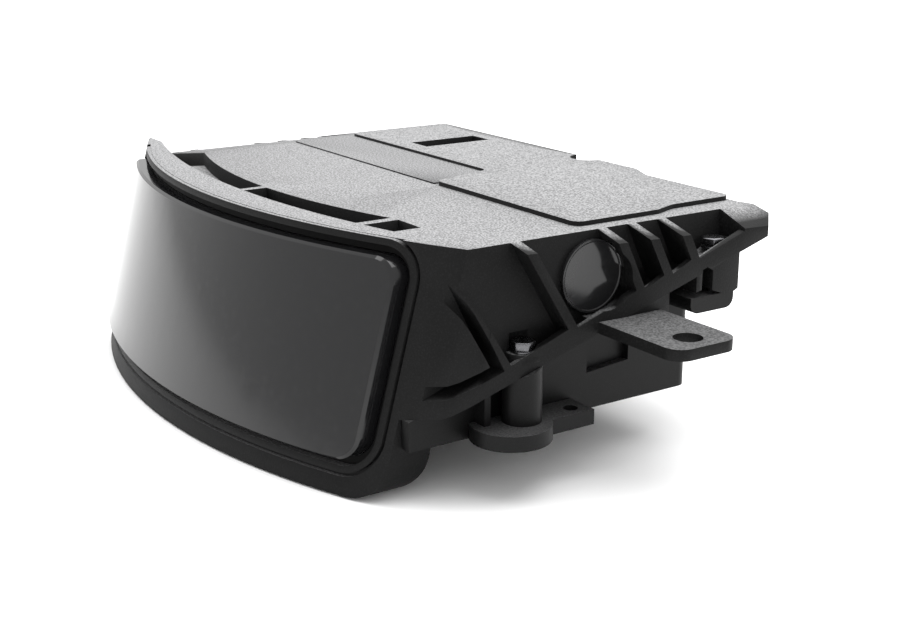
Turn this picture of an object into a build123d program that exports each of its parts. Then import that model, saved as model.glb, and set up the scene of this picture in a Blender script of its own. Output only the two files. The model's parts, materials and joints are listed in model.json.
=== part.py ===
"""Long-range lidar scanner module: a die-cast housing with a raked, curved window,
a spinning polygon mirror and a tilting mirror behind it, and the optics and boards
that serve them.  Millimetres, +Z up, window facing -Y, X = 0 on the optical axis."""
from build123d import *
from math import cos, radians, sin, sqrt, tan
import os

os.makedirs("parts", exist_ok=True)

# ---------------------------------------------------------------- driving dimensions
TOP_Z = 56.0                # flat top of the housing above the lowest edge of the frame
WALL = 3.0                  # die-cast wall
INNER_X = 87.2              # half width of the body between the outer ribs
HOLLOW_X = 80.8             # half width of the hollow
HOLLOW_Y1 = 41.5            # rear end of the hollow
RAIL_X_FRONT = 90.4         # half width over the rails, at RAIL_Y_FRONT
RAIL_X_REAR = 96.2          # half width over the rails, at RAIL_Y_REAR
RAIL_Y_FRONT = -38.0
RAIL_Y_REAR = 56.0
REAR_Y = 62.0               # rear edge of the top
MIDDLE_Y = 1.3              # middle of the overall depth, which becomes Y = 0 in the files
SLOPE = 0.34                # rise of the parting plane and rails per mm of depth
PARTING_Z = 31.2            # height of the parting plane at Y = 0
RAIL_Z = 35.7               # height of the rail's upper edge at Y = 0

# front: a vertical-axis arc, moved back as it rises
RAKE = 15.1                 # degrees the front leans back
FRAME_HALF_X = 80.5
FRAME_R = 186.7             # radius of the frame's front face
FRAME_Y0 = -59.4            # front of the frame at Z = 0, X = 0
FRAME_DEPTH = 9.3           # thickness of the frame from front to back
WINDOW_PROUD = 2.3          # how far the window stands out of the frame's face
WINDOW_HALF_X = 74.4
WINDOW_Z0 = 8.3
WINDOW_Z1 = 52.5
WINDOW_THICK = 5.0
WINDOW_CORNER = 5.5
SEAL_WIDTH = 1.9            # gap round the window, filled by the seal
SEAL_T = 1.0
LEDGE = 3.0                 # ledge the window rests on

# lower housing
BASE_X = 83.8               # half width of the lower housing
BASE_Z = 12.3               # its underside
BASE_Y0 = -35.5
BASE_Y1 = 44.4
LOBE_X, LOBE_Y, LOBE_R = 88.3, -12.0, 9.3
BOSS_X, BOSS_Y, BOSS_R = 88.7, -9.4, 4.5
FLANGE_T = 3.6
CHEEK_T = 2.8               # side walls, which also cover the frame's ends

# mounting ears
EAR_Z = 36.6                # upper face
EAR_T = 2.6
EAR_X = 118.8
EAR_Y0, EAR_Y1 = 8.0, 26.0
EAR_HOLE_X, EAR_HOLE_Y = 112.4, 16.7
EAR_HOLE_R = 3.3            # clearance for M6

# top plate
PLATE_LEFT_X = -51.6        # the raised plate stops here on the left
SHELF_Z = 49.4              # outer end of the sloping shoulder left of the plate

# ribbed sides: where each rib meets the rail, and how far it leans forward in degrees
RIBS = [(-15.9, 31.0), (1.3, 31.0), (19.4, 25.0), (27.0, 26.0), (34.6, 26.0)]
RIB_T = 2.2
SLOT_PATH = [(-28.6, 50.6), (-18.1, 30.1), (-36.3, 24.0)]    # V-shaped slot before the first rib
SLOT_T = 2.6
SLOT_FLOOR_X = 84.6
POCKET_LIP = 1.6            # thickness of the rail's outer lip
POCKET_DROP = 2.4           # pocket floor below the rail's upper edge
POCKET_END_Y = 48.8

# trough and steps on the top
TROUGH_WIDTH = 6.3
TROUGH_DEPTH = 4.0
LIP_R = 262.0               # the frame's upper lip is flatter behind than in front
STEP_A_Y, STEP_B_Y = 8.9, 28.0      # fronts of the two steps
STEP_LOW, STEP_HIGH = 0.35, 1.1

# fasteners and vent in the side pockets
SCREW_R = 1.25              # M2.5
HEAD_R = 2.9                # hexagon head, across corners
HEAD_H = 2.4
REAR_SCREW_X, REAR_SCREW_Y = 90.7, 43.8
VENT_Y, VENT_Z, VENT_R = 10.2, 45.6, 8.4

# boards and optics inside
FLOOR_Z = BASE_Z + 2.6
GASKET_T = 1.0
BOARD_Z, BOARD_T = 18.0, 1.6
BOARD_POSTS = [(-64, -18), (64, -18), (-64, 30), (64, 30)]
BOARD_SCREW_R = 1.0
BENCH_Z, BENCH_T = 24.0, 2.5
BENCH_X = 79.4
BENCH_TOP = BENCH_Z + BENCH_T
BENCH_POSTS = [(-76, -15), (76, -15), (-76, 30), (76, 30)]
AXIS_Z = 38.0               # height of the optical axes
SPIN_X, SPIN_Y = 34.0, -8.0
MIRROR_R, MIRROR_FACETS = 21.0, 6
MIRROR_Z0, MIRROR_Z1 = 29.5, 46.0
CUP_R = 13.0                # hollow under the polygon mirror, holding the magnets
SHAFT_R = 1.98
BEARING_R, BEARING_H = 4.0, 3.0
TUBE_R = 5.0
STATOR_R = 10.2
TILT_X, TILT_Y = 30.0, 29.0
TILT_W, TILT_H, TILT_T = 16.0, 14.0, 1.6
TILT_SHAFT_R = 1.5
TILT_MOTOR_R, TILT_MOTOR_NEAR, TILT_MOTOR_FAR = 6.0, 12.0, 30.0
LASER_X0, LASER_X1, LASER_R = 52.0, 70.0, 7.0
RX_X, RX_Y0, RX_Y1, RX_R = -34.0, -20.0, 0.0, 9.0

TAB_X, TAB_END_Y = 92.4, 8.2
TAB_HOLE_X, TAB_HOLE_Y, TAB_HOLE_R = 88.8, 4.2, 1.7
REAR_BOSS_Y0, REAR_BOSS_Y1 = 34.0, 47.4     # bosses under the rear screws
REAR_BOSS_Z, REAR_BOSS_TOP = 34.2, 38.0
REAR_BLOCK_Y0, REAR_BLOCK_Y1 = 35.2, 48.4
SIDE_SCREWS = [(BOSS_X, BOSS_Y), (-BOSS_X, BOSS_Y),
               (REAR_SCREW_X, REAR_SCREW_Y), (-REAR_SCREW_X, REAR_SCREW_Y)]
SCREW_LENGTH = 12.5
CONNECTOR_X, CONNECTOR_Z = 56.0, 35.5       # centre of the rear connector
CONNECTOR_W, CONNECTOR_H = 31.0, 12.0
CONNECTOR_WALL = 2.0
CONNECTOR_END_Y = 58.4

STAND = (Align.CENTER, Align.CENTER, Align.MIN)
front_dir = (0, sin(radians(RAKE)), cos(radians(RAKE)))
rake_run = tan(radians(RAKE))


def parting_z(y):
    """Height of the parting plane at depth y."""
    return PARTING_Z + SLOPE * y


def rail_top_z(y):
    """Height of the rail's upper edge at depth y."""
    return RAIL_Z + SLOPE * y


def rail_x(y):
    """Half width over the rail at depth y."""
    share = (y - RAIL_Y_FRONT) / (RAIL_Y_REAR - RAIL_Y_FRONT)
    return RAIL_X_FRONT + share * (RAIL_X_REAR - RAIL_X_FRONT)


def screw_seat_z(y):
    """Height of the face under a side screw's head."""
    return rail_top_z(y) - POCKET_DROP


def arc_centre_y(z):
    """Centre of all the front arcs at height z."""
    return FRAME_Y0 + FRAME_R + rake_run * z


def slanted(height):
    """Length along the raked direction that climbs by height."""
    return height / cos(radians(RAKE))


def save(builder, name):
    """Label one finished piece and write it to its own file, centred on the overall depth."""
    piece = builder.part.moved(Location((0, -MIDDLE_Y, 0)))
    piece.label = name
    export_step(piece, f"parts/{name}.step")
    print(name, round(piece.volume, 1))


# ---------------------------------------------------------------- shared cutters
def front_block(radius, z0=-5.0, z1=70.0):
    """Everything in front of a raked arc of the given radius."""
    with BuildPart() as block:
        with BuildSketch(Plane.XY.offset(z0)):
            with Locations((0, -70)):
                Rectangle(300, 140)
            with Locations((0, arc_centre_y(z0))):
                Circle(radius, mode=Mode.SUBTRACT)
        extrude(amount=slanted(z1 - z0), dir=front_dir)
    return block.part


def raked_ring(r_out, r_in, z0, z1, half_x):
    """A raked, curved band between two radii, as wide as 2 x half_x."""
    with BuildPart() as band:
        with BuildSketch(Plane.XY.offset(z0)):
            with Locations((0, arc_centre_y(z0))):
                Circle(r_out)
                Circle(r_in, mode=Mode.SUBTRACT)
            with Locations((0, -50)):
                Rectangle(2 * half_x, 110, mode=Mode.INTERSECT)
        extrude(amount=slanted(z1 - z0), dir=front_dir)
    return band.part


def window_outline(grow, depth=120.0, y0=-90.0):
    """The window's rounded rectangle seen from the front, grown all round, as a prism."""
    width = 2 * (WINDOW_HALF_X + grow)
    height = WINDOW_Z1 - WINDOW_Z0 + 2 * grow
    with BuildPart() as prism:
        with BuildSketch(Plane.XZ.offset(-y0)):
            with Locations((0, (WINDOW_Z0 + WINDOW_Z1) / 2)):
                RectangleRounded(width, height, WINDOW_CORNER + grow)
        extrude(amount=-depth)
    return prism.part


# ---------------------------------------------------------------- upper housing
def rib_face(rib, drop, side):
    """Lower and upper corner of one face of a leaning rib; side is 1 for its rear face."""
    foot_y, lean = rib
    run = tan(radians(lean))
    half = RIB_T / 2 / cos(radians(lean))
    low = rail_top_z(foot_y) - drop
    top = TOP_Z + 6
    return [(foot_y + drop * run + side * half, low),
            (foot_y - (top - rail_top_z(foot_y)) * run + side * half, top)]


def pocket_corners(front_rib, rear_rib, drop):
    """Corners, in depth and height, of one open-topped pocket between two ribs."""
    front = rib_face(front_rib, drop, 1)
    if rear_rib:
        return front + rib_face(rear_rib, drop, -1)[::-1]
    return front + [(POCKET_END_Y, TOP_Z + 6), (POCKET_END_Y, rail_top_z(POCKET_END_Y) - drop)]


def cut_pocket(front_rib, rear_rib=None):
    """Cut one pocket: a deep trough behind the rail's lip, open outside above the rail."""
    inner_depth = rail_x(front_rib[0] + 8) - POCKET_LIP - INNER_X
    with BuildSketch(Plane.YZ.offset(INNER_X)) as trough:
        Polygon(*pocket_corners(front_rib, rear_rib, POCKET_DROP), align=None)
    extrude(trough.sketch, amount=inner_depth, mode=Mode.SUBTRACT)
    with BuildSketch(Plane.YZ.offset(INNER_X)) as mouth:
        Polygon(*pocket_corners(front_rib, rear_rib, 0.0), align=None)
    extrude(mouth.sketch, amount=20, mode=Mode.SUBTRACT)


frame_front = front_block(FRAME_R)
frame_back = front_block(FRAME_R - FRAME_DEPTH)
tray_front = front_block(FRAME_R - FRAME_DEPTH - 0.2)
tray_inside = front_block(FRAME_R - FRAME_DEPTH - 2.8)
window_face = FRAME_R + WINDOW_PROUD
window_back = window_face - WINDOW_THICK
seat_band = raked_ring(FRAME_R + 12, window_back - SEAL_T, -5, 70, 90)
ledge_band = raked_ring(FRAME_R, FRAME_R - FRAME_DEPTH - 1, -5, 70, 90)
groove_band = raked_ring(FRAME_R + 12, FRAME_R - 1.0, -5, 70, 90)
window_prism = window_outline(0.0)
seat_prism = window_outline(SEAL_WIDTH)
ledge_prism = window_outline(-LEDGE)
groove_out = window_outline(SEAL_WIDTH + 2.3)
groove_in = window_outline(SEAL_WIDTH + 1.5)

with BuildPart() as cavity:
    # the hollow inside the upper housing, behind the frame
    with BuildSketch(Plane.XY.offset(-1)):
        with Locations((0, (HOLLOW_Y1 - 80) / 2)):
            Rectangle(2 * HOLLOW_X, HOLLOW_Y1 + 80)
    extrude(amount=TOP_Z - WALL + 1)
    # the ceiling is lower under the left shoulder and under the trough
    with BuildSketch(Plane.XY.offset(SHELF_Z - WALL + 1.4)):
        with Locations(((PLATE_LEFT_X + WALL - 120) / 2, 10)):
            Rectangle(120 + PLATE_LEFT_X + WALL, 160)
    extrude(amount=10, mode=Mode.SUBTRACT)
    with BuildSketch(Plane.XY.offset(SHELF_Z - TROUGH_DEPTH - 1.4)):
        with Locations(((PLATE_LEFT_X + WALL - 120) / 2, -70)):
            Rectangle(120 + PLATE_LEFT_X + WALL, 2 * 52.4)
    extrude(amount=12, mode=Mode.SUBTRACT)
    with BuildSketch(Plane.XY.offset(TOP_Z - TROUGH_DEPTH - 2.4)):
        with Locations((0, -70)):
            Rectangle(300, 140)
        with Locations((0, arc_centre_y(TOP_Z))):
            Circle(FRAME_R - FRAME_DEPTH - TROUGH_WIDTH - 2, mode=Mode.SUBTRACT)
    extrude(amount=10, mode=Mode.SUBTRACT)
    add(frame_back, mode=Mode.SUBTRACT)

lip_centre_y = arc_centre_y(TOP_Z) - FRAME_R + FRAME_DEPTH + LIP_R
with BuildPart() as left_trough:
    # open left end of the trough, its floor falling with the shoulder
    with BuildSketch(Plane.XZ.offset(45)):
        Polygon((PLATE_LEFT_X, TOP_Z - TROUGH_DEPTH), (-88, SHELF_Z - TROUGH_DEPTH + 0.6), (-88, TOP_Z + 4),
                (PLATE_LEFT_X, TOP_Z + 4), align=None)
    extrude(amount=-25)
    with BuildSketch(Plane.XY.offset(30)):
        with Locations((0, lip_centre_y)):
            Circle(LIP_R)
    extrude(amount=50, mode=Mode.INTERSECT)

with BuildPart() as window_seat:
    # opening for the window, its seal and the ledge they rest on
    add(seat_band)
    add(seat_prism, mode=Mode.INTERSECT)

with BuildPart() as light_way:
    add(ledge_band)
    add(ledge_prism, mode=Mode.INTERSECT)

with BuildPart() as face_groove:
    # narrow groove in the frame's face, round the window
    add(groove_band)
    add(groove_out, mode=Mode.INTERSECT)
    add(groove_in, mode=Mode.SUBTRACT)

with BuildPart() as upper_housing:
    # body between the parting plane and the top, with flared rails
    with BuildSketch(Plane.XY):
        Polygon((0, -50), (RAIL_X_FRONT, -50), (RAIL_X_FRONT, RAIL_Y_FRONT),
                (RAIL_X_REAR, RAIL_Y_REAR),
                (RAIL_X_REAR - 4.5, REAR_Y - 1.5), (INNER_X - 4, REAR_Y - 3.6), (50, REAR_Y - 3.6),
                (42, REAR_Y), (0, REAR_Y), align=None)
    extrude(amount=TOP_Z)
    # sloping shoulder from the plate's edge out to the rail
    with BuildSketch(Plane.XZ.offset(-REAR_Y - 5)):
        Polygon((INNER_X + 0.4, TOP_Z), (INNER_X + 20.4, TOP_Z - 7.6),
                (INNER_X + 20.4, TOP_Z + 5), (INNER_X + 0.4, TOP_Z + 5), align=None)
    extrude(amount=REAR_Y + 43, mode=Mode.SUBTRACT)
    # pockets between the ribs
    for front_rib, rear_rib in zip(RIBS, RIBS[1:]):
        cut_pocket(front_rib, rear_rib)
    cut_pocket(RIBS[-1])
    # underside of the end block
    with BuildSketch(Plane.YZ.offset(INNER_X - 0.4)):
        Polygon((POCKET_END_Y - 1, 40), (POCKET_END_Y - 1, rail_top_z(POCKET_END_Y) - 4.8),
                (REAR_Y + 1, rail_top_z(REAR_Y) - 4.8), (REAR_Y + 1, 40), align=None)
    extrude(amount=20, mode=Mode.SUBTRACT)
    # everything under the parting plane belongs to the lower housing
    with BuildSketch(Plane.YZ.offset(-1)):
        Polygon((-50, -1), (-50, parting_z(-50)), (80, parting_z(80)), (80, -1), align=None)
    extrude(amount=120, mode=Mode.SUBTRACT)
    # block under the rear screw, flush with the rail, with a wavy foot and a cored-out slot
    with BuildSketch(Plane.YZ.offset(INNER_X - 3)):
        with BuildLine():
            Line((REAR_BLOCK_Y0, 39.4), (REAR_BLOCK_Y0, parting_z(REAR_BLOCK_Y0) + 1))
            Line((REAR_BLOCK_Y0, parting_z(REAR_BLOCK_Y0) + 1),
                 (REAR_BLOCK_Y1, parting_z(REAR_BLOCK_Y1) + 1))
            Line((REAR_BLOCK_Y1, parting_z(REAR_BLOCK_Y1) + 1), (REAR_BLOCK_Y1, 38.6))
            Spline((REAR_BLOCK_Y1, 38.6), (43.8, REAR_BOSS_TOP), (39.0, 39.6), (REAR_BLOCK_Y0, 39.4))
        make_face()
    extrude(amount=rail_x(REAR_BLOCK_Y0) - INNER_X + 3)
    with BuildSketch(Plane.YZ.offset(INNER_X + 3)):
        Polygon((36.9, 38), (36.9, 44.6), (38.3, 45.1), (40.2, 44.0), (40.2, 38), align=None)
    extrude(amount=20, mode=Mode.SUBTRACT)
    # tongue and mounting ear
    with BuildSketch(Plane.YZ.offset(INNER_X - 1)):
        Polygon((9.5, EAR_Z - EAR_T), (9.5, parting_z(9.5) + 1), (28.5, parting_z(28.5) + 1),
                (28.5, EAR_Z - EAR_T), align=None)
    extrude(amount=rail_x(9.5) - INNER_X + 1)
    with BuildSketch(Plane.XY.offset(EAR_Z - EAR_T)):
        with Locations(((INNER_X + EAR_X) / 2, (EAR_Y0 + EAR_Y1) / 2)):
            Rectangle(EAR_X - INNER_X, EAR_Y1 - EAR_Y0)
        with Locations((EAR_HOLE_X, EAR_HOLE_Y)):
            Circle(EAR_HOLE_R, mode=Mode.SUBTRACT)
    extrude(amount=EAR_T)
    ear_corners = upper_housing.edges().filter_by(Axis.Z).filter_by(
        lambda edge: edge.center().X > EAR_X - 1 and edge.center().Z < EAR_Z)
    fillet(ear_corners, 4.0)
    mirror(about=Plane.YZ)
    # raked front frame with rounded corners
    with BuildSketch(Plane.XZ.offset(80)):
        with BuildLine():
            FilletPolyline((0, 0), (FRAME_HALF_X, 0), (FRAME_HALF_X, 30), radius=8.5)
            FilletPolyline((FRAME_HALF_X, 30), (FRAME_HALF_X, TOP_Z), (0, TOP_Z), radius=6)
            mirror(about=Plane.YZ)
        make_face()
    extrude(amount=-80 + 24)
    add(frame_front, mode=Mode.SUBTRACT)
    for side in (-1, 1):
        flare_y = arc_centre_y(0) - sqrt(FRAME_R ** 2 - FRAME_HALF_X ** 2)
        with BuildSketch(Plane.XY):
            Polygon((side * FRAME_HALF_X, flare_y), (side * 86.4, flare_y + 1.6),
                    (side * 88.6, flare_y + 3.4), (side * RAIL_X_FRONT, flare_y + 6.5),
                    (side * 91.4, flare_y + 11), (side * 130, flare_y + 11), (side * 130, -120),
                    (side * FRAME_HALF_X, -120), align=None)
        extrude(amount=slanted(70), dir=front_dir, mode=Mode.SUBTRACT)
    # V-shaped slots that leave the first ribs standing
    for side in (-1, 1):
        with BuildSketch(Plane.YZ.offset(side * SLOT_FLOOR_X)):
            with BuildLine():
                Polyline(*SLOT_PATH)
            trace(line_width=SLOT_T)
        extrude(amount=side * 20, mode=Mode.SUBTRACT)
    add(cavity.part, mode=Mode.SUBTRACT)
    # stepped recess round the window
    add(window_seat.part, mode=Mode.SUBTRACT)
    add(light_way.part, mode=Mode.SUBTRACT)
    add(face_groove.part, mode=Mode.SUBTRACT)
    # sloping shoulder left of the raised plate, and the open end of the trough before it
    with BuildSketch(Plane.XZ.offset(24)):
        Polygon((PLATE_LEFT_X, TOP_Z - 0.4), (-92, SHELF_Z), (-92, TOP_Z + 4), (PLATE_LEFT_X, TOP_Z + 4),
                align=None)
    extrude(amount=-100, mode=Mode.SUBTRACT)
    add(left_trough.part, mode=Mode.SUBTRACT)
    # trough behind the frame, crossed by two ribs
    for left, right in ((PLATE_LEFT_X, 3.0), (5.2, 52.5), (55.0, 64.5)):
        with BuildSketch(Plane.XY.offset(TOP_Z - TROUGH_DEPTH)):
            with Locations((0, lip_centre_y)):
                Circle(LIP_R)
            with Locations((0, arc_centre_y(TOP_Z))):
                Circle(FRAME_R - FRAME_DEPTH - TROUGH_WIDTH, mode=Mode.SUBTRACT)
            with Locations(((left + right) / 2, -50)):
                Rectangle(right - left, 60, mode=Mode.INTERSECT)
        extrude(amount=10, mode=Mode.SUBTRACT)
    # two thin steps up to the raised rear of the plate
    with BuildSketch(Plane.XY.offset(TOP_Z)):
        with Locations(((PLATE_LEFT_X + 25) / 2, (STEP_A_Y + STEP_B_Y) / 2)):
            Rectangle(25 - PLATE_LEFT_X, STEP_B_Y - STEP_A_Y)
    extrude(amount=STEP_LOW)
    with BuildSketch(Plane.XY.offset(TOP_Z)):
        with BuildLine():
            FilletPolyline((PLATE_LEFT_X, STEP_B_Y), (21, STEP_B_Y), (26, STEP_A_Y), (83.4, STEP_A_Y),
                           (83.4, 33), (81, 39.5), (81, REAR_Y - 3.6), (50, REAR_Y - 3.6), (42, REAR_Y),
                           (PLATE_LEFT_X, REAR_Y), close=True, radius=2.5)
        make_face()
    extrude(amount=STEP_HIGH)
    # wedge-shaped finger recess with a rising floor
    with BuildSketch(Plane.XZ.offset(-34)):
        Polygon((-26.4, TOP_Z - 1), (-26.4, TOP_Z + 2), (-18, TOP_Z + 2), (-18, TOP_Z + STEP_HIGH),
                align=None)
    extrude(amount=-22, mode=Mode.SUBTRACT)
    # notch for the rear screw
    with BuildSketch(Plane.XY.offset(TOP_Z - 5)):
        with Locations((21.2, REAR_Y)):
            Circle(4.8)
    extrude(amount=10, mode=Mode.SUBTRACT)
    # seats for the long housing screws, then the round vent
    for x, y in SIDE_SCREWS:
        seat = screw_seat_z(y)
        with Locations((x, y, seat)):
            Cylinder(HEAD_R + 0.1, HEAD_H + 3.5, align=STAND, mode=Mode.SUBTRACT)
            Cylinder(SCREW_R + 0.15, 24, mode=Mode.SUBTRACT)
    with Locations(Plane((INNER_X, VENT_Y, VENT_Z), z_dir=(1, 0, 0))):
        Cylinder(VENT_R - 1.6, 20, mode=Mode.SUBTRACT)
        Cylinder(VENT_R + 0.05, 4, align=STAND, mode=Mode.SUBTRACT)
    # threaded hole for the rear screw
    with Locations((21.2, REAR_Y - 2.4, TOP_Z - 5)):
        Cylinder(SCREW_R, 6, mode=Mode.SUBTRACT)
save(upper_housing, "upper_housing")

# ---------------------------------------------------------------- window, seal, vent
window_band = raked_ring(window_face, window_back, -5, 70, 90)
seal_band = raked_ring(window_back, window_back - SEAL_T, -5, 70, 90)
bead_band = raked_ring(FRAME_R - 1.6, window_back - SEAL_T, -5, 70, 90)
seal_outer = window_outline(SEAL_WIDTH - 0.1)
window_gap = window_outline(0.1)

with BuildPart() as front_window:
    add(window_band)
    add(window_prism, mode=Mode.INTERSECT)
    outer_rim = front_window.faces().sort_by(Axis.Y)[0]
    chamfer(outer_rim.edges(), 0.6)
save(front_window, "front_window")

with BuildPart() as window_seal:
    add(bead_band)
    add(seal_outer, mode=Mode.INTERSECT)
    add(window_gap, mode=Mode.SUBTRACT)
    add(seal_band)
    add(seal_outer, mode=Mode.INTERSECT)
    add(ledge_prism, mode=Mode.SUBTRACT)
save(window_seal, "window_seal")

with BuildPart() as vent_disc:
    with Locations(Plane((INNER_X, VENT_Y, VENT_Z), z_dir=(1, 0, 0))):
        Cylinder(VENT_R, 3.0, align=STAND)
    chamfer(vent_disc.edges().group_by(Axis.X)[-1], 0.3)
    with Locations(Plane((INNER_X, VENT_Y, VENT_Z), z_dir=(1, 0, 0))):
        Cylinder(VENT_R - 1.7, 4, align=(Align.CENTER, Align.CENTER, Align.MAX))
    with Locations(Plane((INNER_X + 2.7, VENT_Y, VENT_Z), z_dir=(1, 0, 0))):
        Cylinder(VENT_R - 0.7, 1, align=STAND, mode=Mode.SUBTRACT)
save(vent_disc, "vent_disc")

# ---------------------------------------------------------------- lower housing
groove_outer_front = front_block(FRAME_R - FRAME_DEPTH - 0.9)
groove_inner_front = front_block(FRAME_R - FRAME_DEPTH - 2.1)

with BuildPart() as gasket_core:
    # what lies inside the gasket's ring
    with BuildSketch(Plane.XY):
        with Locations((0, (BASE_Y1 - 1.9 - 60) / 2)):
            RectangleRounded(2 * (BASE_X - 2.0), BASE_Y1 - 1.9 + 60, 2.2)
    extrude(amount=70)
    add(groove_inner_front, mode=Mode.SUBTRACT)

with BuildPart() as gasket_band:
    # the gasket follows the tray's rim, in a plane that climbs to the rear
    with BuildSketch(Plane.XY):
        with Locations((0, (BASE_Y1 - 0.7 - 60) / 2)):
            RectangleRounded(2 * (BASE_X - 0.8), BASE_Y1 - 0.7 + 60, 3.2)
    extrude(amount=70)
    add(groove_outer_front, mode=Mode.SUBTRACT)
    add(gasket_core.part, mode=Mode.SUBTRACT)
    with BuildSketch(Plane.YZ.offset(-100)):
        Polygon((-60, parting_z(-60) - GASKET_T), (-60, parting_z(-60)), (60, parting_z(60)),
                (60, parting_z(60) - GASKET_T), align=None)
    extrude(amount=200, mode=Mode.INTERSECT)
save(gasket_band, "housing_gasket")

with BuildPart() as tray_hollow:
    with BuildSketch(Plane.XY.offset(FLOOR_Z)):
        with Locations((0, (BASE_Y1 - 2.6 - 60) / 2)):
            RectangleRounded(2 * HOLLOW_X, BASE_Y1 - 2.6 + 60, 2.0)
    extrude(amount=60)
    add(tray_inside, mode=Mode.SUBTRACT)

with BuildPart() as lower_housing:
    with BuildSketch(Plane.XY.offset(BASE_Z)):
        with Locations((0, (BASE_Y1 - 60) / 2)):
            Rectangle(2 * BASE_X, BASE_Y1 + 60)
    extrude(amount=45)
    fillet(lower_housing.edges().filter_by(Axis.Z).group_by(Axis.Y)[-1], 3.0)
    # its front wall follows the back of the frame, between cheeks at both sides
    add(tray_front, mode=Mode.SUBTRACT)
    with BuildSketch(Plane.XY.offset(BASE_Z)):
        for side in (-1, 1):
            with Locations((side * (BASE_X - CHEEK_T / 2), (BASE_Y0 - 10) / 2)):
                Rectangle(CHEEK_T, -BASE_Y0 - 10)
    extrude(amount=45)
    # round lobes and front tabs at both sides
    with BuildSketch(Plane.XY.offset(BASE_Z)):
        for side in (-1, 1):
            with Locations((side * LOBE_X, LOBE_Y)):
                Circle(LOBE_R)
            with Locations((side * (BASE_X + 2), (LOBE_Y + TAB_END_Y) / 2)):
                Rectangle(2 * (TAB_X - BASE_X - 2), TAB_END_Y - LOBE_Y)
            with Locations((side * TAB_HOLE_X, TAB_HOLE_Y)):
                Circle(TAB_HOLE_R, mode=Mode.SUBTRACT)
    extrude(amount=FLANGE_T)
    # bosses for the long screws
    with BuildSketch(Plane.XY.offset(BASE_Z)):
        for side in (-1, 1):
            with Locations((side * BOSS_X, BOSS_Y)):
                Circle(BOSS_R)
            with Locations((side * (BASE_X + 1.5), BOSS_Y + 3.6), (side * (BASE_X + 1.5), BOSS_Y - 8.5)):
                Rectangle(5, 1.6)
    extrude(amount=30)
    # cut everything at the parting plane
    with BuildSketch(Plane.YZ.offset(-120)):
        Polygon((-60, parting_z(-60)), (-60, 90), (80, 90), (80, parting_z(80)), align=None)
    extrude(amount=240, mode=Mode.SUBTRACT)
    # bosses under the rear screws, rounded at the lower rear corner
    for side in (-1, 1):
        with BuildSketch(Plane.YZ.offset(side * (BASE_X - 1))):
            with BuildLine():
                FilletPolyline((REAR_BOSS_Y0, REAR_BOSS_TOP), (REAR_BOSS_Y0, REAR_BOSS_Z),
                               (REAR_BOSS_Y1, REAR_BOSS_Z), (REAR_BOSS_Y1, REAR_BOSS_TOP), radius=2.4)
                Line((REAR_BOSS_Y1, REAR_BOSS_TOP), (REAR_BOSS_Y0, REAR_BOSS_TOP))
            make_face()
        extrude(amount=side * (94.6 - BASE_X + 1))
    # hollow tray
    add(tray_hollow.part, mode=Mode.SUBTRACT)
    # recesses below the ears
    for side in (-1, 1):
        with BuildSketch(Plane.YZ.offset(side * (BASE_X + 0.01))):
            Polygon((12.6, 21.2), (12.6, 31), (25, 31), (25, 22.2), align=None)
        extrude(amount=-side * 2.0, mode=Mode.SUBTRACT)
    # threaded bores of the bosses
    for x, y in SIDE_SCREWS:
        with Locations((x, y, screw_seat_z(y))):
            Cylinder(SCREW_R, 2 * SCREW_LENGTH + 1, mode=Mode.SUBTRACT)
    # opening for the connector in the rear wall
    with BuildSketch(Plane.XZ.offset(-BASE_Y1 - 1)):
        with Locations((CONNECTOR_X, CONNECTOR_Z)):
            RectangleRounded(CONNECTOR_W - 4.4, CONNECTOR_H - 4.4, 1.8)
    extrude(amount=5, mode=Mode.SUBTRACT)
    # standoffs for the main board, and taller posts for the optical bench
    for post_points, post_r, post_top, bore_r in (
            (BOARD_POSTS, 3.0, BOARD_Z, BOARD_SCREW_R), (BENCH_POSTS, 3.2, BENCH_Z, SCREW_R)):
        for x, y in post_points:
            with Locations((x, y, FLOOR_Z - 0.5)):
                Cylinder(post_r, post_top - FLOOR_Z + 0.5, align=STAND)
            with Locations((x, y, post_top)):
                Cylinder(bore_r, 2 * (post_top - FLOOR_Z), mode=Mode.SUBTRACT)
    # groove for the gasket
    add(gasket_band.part, mode=Mode.SUBTRACT)
save(lower_housing, "lower_housing")

# ---------------------------------------------------------------- fasteners
def hex_screw(x, y, seat_z, length, shaft_r, head_r, head_h):
    """Upright hexagon-head screw, head resting on seat_z, with a flange under the head."""
    with BuildPart(Plane((x, y, seat_z))) as screw:
        Cylinder(shaft_r, length, align=(Align.CENTER, Align.CENTER, Align.MAX))
        Cylinder(head_r, 0.5, align=STAND)
        with BuildSketch(Plane((x, y, seat_z + 0.5))):
            RegularPolygon(head_r, 6)
        extrude(amount=head_h - 0.5)
    return screw.part


def save_group(pieces, name):
    """Write several separate solids as one node."""
    moved = [piece.moved(Location((0, -MIDDLE_Y, 0))) for piece in pieces]
    group = Compound(label=name, children=moved)
    export_step(group, f"parts/{name}.step")
    print(name, len(pieces), round(sum(piece.volume for piece in pieces), 1))


save_group([hex_screw(x, y, screw_seat_z(y), SCREW_LENGTH, SCREW_R - 0.03, HEAD_R, HEAD_H)
            for x, y in SIDE_SCREWS], "side_screws")
save_group([hex_screw(x, y, BOARD_Z + BOARD_T, 4.2, BOARD_SCREW_R - 0.02, 1.9, 1.4)
            for x, y in BOARD_POSTS], "board_screws")
save_group([hex_screw(x, y, BENCH_TOP, 8.0, SCREW_R - 0.03, 2.4, 1.9)
            for x, y in BENCH_POSTS], "bench_screws")

with BuildPart() as rear_screw:
    add(hex_screw(21.2, REAR_Y - 2.4, TOP_Z - 5, 2.6, SCREW_R - 0.03, 2.0, 1.8))
save(rear_screw, "rear_screw")

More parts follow.
